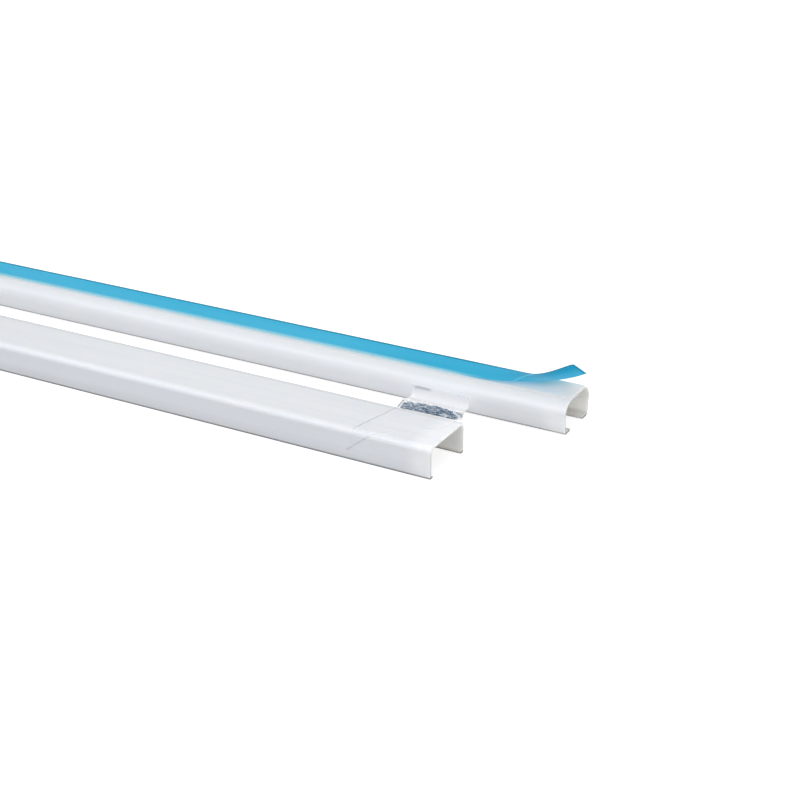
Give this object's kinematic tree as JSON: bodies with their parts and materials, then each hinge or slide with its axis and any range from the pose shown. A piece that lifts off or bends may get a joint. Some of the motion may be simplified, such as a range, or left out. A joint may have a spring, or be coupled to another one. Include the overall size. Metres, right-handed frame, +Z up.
{
  "type": "cord cover raceway",
  "caption": "Two-piece white cord raceway: lipped base channel with a foam adhesive strip and peeled blue liner, and its snap-fit cover, bound side by side with clear tape.",
  "frame": {"origin": "middle of the bounding box's footprint, on the floor the two channels lie on", "axes": "+X along the raceway towards the end with the peeled liner, +Y from the cover to the base, +Z up"},
  "size_m": [0.4326, 0.0768, 0.0246],
  "materials": {
    "white_pvc": "satin extruded white PVC",
    "white_foam": "white closed-cell foam with clear adhesive faces",
    "blue_liner": "satin blue release film",
    "clear_film": "clear glossy adhesive tape"
  },
  "bodies": {
    "root": {"base_channel": "white_pvc", "cover_channel": "white_pvc", "adhesive_tape": "white_foam", "release_liner": "blue_liner", "binding_tape": "clear_film"}
  },
  "joints": []
}
